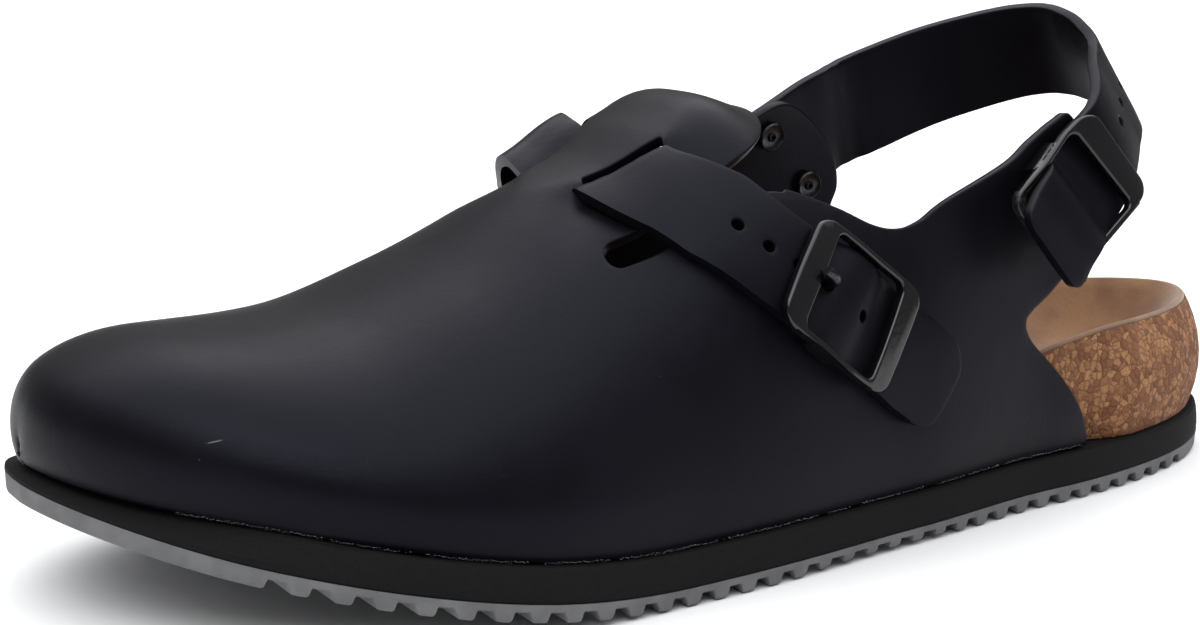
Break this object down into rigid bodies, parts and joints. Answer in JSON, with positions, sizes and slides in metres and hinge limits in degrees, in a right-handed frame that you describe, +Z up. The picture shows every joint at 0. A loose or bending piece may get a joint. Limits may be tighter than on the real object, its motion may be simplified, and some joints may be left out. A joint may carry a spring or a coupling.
{
  "type": "chef clog",
  "caption": "Left work clog: closed-toe leather upper on a cork footbed and notched rubber sole, with a buckled instep strap and a buckled heel strap, worn by cooks.",
  "frame": {"origin": "centre of the bounding box's bottom face, on the floor", "axes": "+Z up, -X towards the toe, -Y to the shoe's outer side"},
  "size_m": [0.283, 0.1076, 0.1044],
  "materials": {
    "outsole_rubber": "matte grey rubber",
    "midsole_foam": "matte black foam",
    "cork": "bare pressed cork granules",
    "suede": "tan napped suede",
    "smooth_leather": "black semi-gloss smooth leather",
    "buckle_plastic": "black glossy",
    "pin_metal": "dark metal"
  },
  "bodies": {
    "root": {"outsole": "outsole_rubber", "midsole": "midsole_foam", "footbed": "cork", "insole": "suede", "upper": "smooth_leather", "instep_strap": "smooth_leather", "heel_strap": "smooth_leather", "instep_buckle": "buckle_plastic", "heel_buckle": "buckle_plastic", "instep_pin": "pin_metal", "rivet_upper": "pin_metal", "rivet_lower": "pin_metal"}
  },
  "joints": []
}
